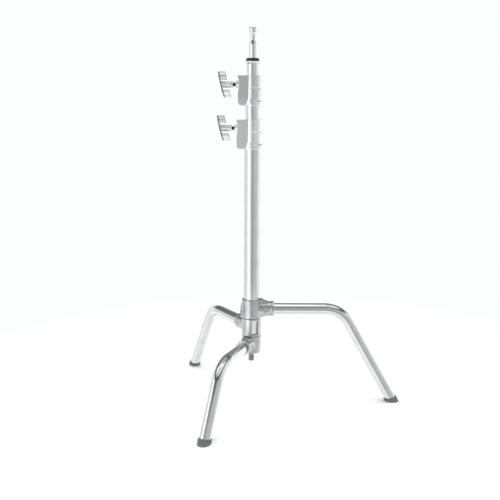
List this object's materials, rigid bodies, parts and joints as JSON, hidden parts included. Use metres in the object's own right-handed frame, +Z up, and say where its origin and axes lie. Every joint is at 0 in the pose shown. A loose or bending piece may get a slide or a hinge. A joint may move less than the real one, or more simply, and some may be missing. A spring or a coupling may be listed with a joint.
{
  "type": "c-stand",
  "caption": "Compact C-stand: bent legs nest under each other on a turtle base, and a steel column carries telescoping risers with wing-knob clamps and a baby pin.",
  "frame": {"origin": "middle of the footprint's bounding box, on the floor; the column stands at x = -0.0890, y = -0.0063", "axes": "+Z up along the column, +X along the high leg, both clamp knobs towards -X"},
  "size_m": [0.5086, 0.491, 0.831],
  "materials": {
    "chrome_tube": "polished chrome plate on steel tube",
    "chrome_cast": "polished chrome plate on die casting",
    "cast_aluminium": "satin cast, lightly polished",
    "zinc_steel": "zinc plated",
    "black_steel": "black oxide, slightly oily",
    "foot_rubber": "moulded, matt dark grey",
    "bumper_rubber": "moulded, satin black",
    "nylon": "moulded nylon"
  },
  "bodies": {
    "column": {"column_tube": "chrome_tube", "high_leg_casting": "cast_aluminium", "high_leg_tube": "chrome_tube", "high_leg_foot": "foot_rubber", "high_leg_pin": "zinc_steel", "column_screw": "zinc_steel", "base_plug": "cast_aluminium", "base_bolt": "black_steel", "spring_seat": "zinc_steel", "base_spring": "zinc_steel", "lower_collar": "chrome_cast"},
    "leg_carriage": {"thrust_washer": "zinc_steel"},
    "mid_leg": {"mid_leg_casting": "cast_aluminium", "mid_leg_tube": "chrome_tube", "mid_leg_foot": "foot_rubber", "mid_leg_pin": "zinc_steel"},
    "low_leg": {"low_leg_casting": "cast_aluminium", "low_leg_tube": "chrome_tube", "low_leg_foot": "foot_rubber", "low_leg_pin": "zinc_steel"},
    "riser_1_guide": {"riser_1_guide": "nylon"},
    "riser_1": {"riser_1_tube": "chrome_tube", "riser_1_plug": "nylon", "upper_collar": "chrome_cast"},
    "riser_2_guide": {"riser_2_guide": "nylon"},
    "riser_2": {"riser_2_tube": "chrome_tube", "riser_2_plug": "nylon", "top_flange": "chrome_tube", "bumper_ring": "bumper_rubber", "baby_pin": "chrome_tube"},
    "lower_pad": {"lower_brake_pad": "nylon"},
    "lower_knob": {"lower_knob": "chrome_cast", "lower_clamp_screw": "black_steel"},
    "upper_pad": {"upper_brake_pad": "nylon"},
    "upper_knob": {"upper_knob": "chrome_cast", "upper_clamp_screw": "black_steel"}
  },
  "joints": [
    {"name": "leg_release", "type": "slide", "parent": "column", "child": "leg_carriage", "axis": [0, 0, 1], "range_m": [-0.005, 0], "stiffness_N_per_m": 8000, "springref_m": 0.006, "deforming": ["base_spring"]},
    {"name": "mid_leg_swivel", "type": "hinge", "parent": "leg_carriage", "child": "mid_leg", "pos_m": [-0.08902, -0.00635, 0.18], "axis": [0, 0, 1], "range_deg": [-122.5, 0]},
    {"name": "low_leg_swivel", "type": "hinge", "parent": "leg_carriage", "child": "low_leg", "pos_m": [-0.08902, -0.00635, 0.1405], "axis": [0, 0, 1], "range_deg": [0, 113]},
    {"name": "riser_1_slide", "type": "slide", "parent": "column", "child": "riser_1_guide", "axis": [0, 0, 1], "range_m": [0, 0.36]},
    {"name": "riser_1_turn", "type": "hinge", "parent": "riser_1_guide", "child": "riser_1", "pos_m": [-0.08902, -0.00635, 0.45], "axis": [0, 0, 1], "continuous": true},
    {"name": "riser_2_slide", "type": "slide", "parent": "riser_1", "child": "riser_2_guide", "axis": [0, 0, 1], "range_m": [0, 0.4]},
    {"name": "riser_2_turn", "type": "hinge", "parent": "riser_2_guide", "child": "riser_2", "pos_m": [-0.08902, -0.00635, 0.6], "axis": [0, 0, 1], "continuous": true},
    {"name": "lower_pad_slide", "type": "slide", "parent": "column", "child": "lower_pad", "axis": [-1, 0, 0], "range_m": [0, 0.0025]},
    {"name": "lower_knob_turn", "type": "hinge", "parent": "lower_pad", "child": "lower_knob", "pos_m": [-0.13902, -0.00635, 0.6221], "axis": [-1, 0, 0], "range_deg": [0, 720]},
    {"name": "upper_pad_slide", "type": "slide", "parent": "riser_1", "child": "upper_pad", "axis": [-1, 0, 0], "range_m": [0, 0.0025]},
    {"name": "upper_knob_turn", "type": "hinge", "parent": "upper_pad", "child": "upper_knob", "pos_m": [-0.13902, -0.00635, 0.7138], "axis": [-1, 0, 0], "range_deg": [0, 720]}
  ],
  "couplings": [
    {"joint": "lower_knob_turn", "follows": "lower_pad_slide", "rad_per_m": 5026.5},
    {"joint": "upper_knob_turn", "follows": "upper_pad_slide", "rad_per_m": 5026.5}
  ]
}
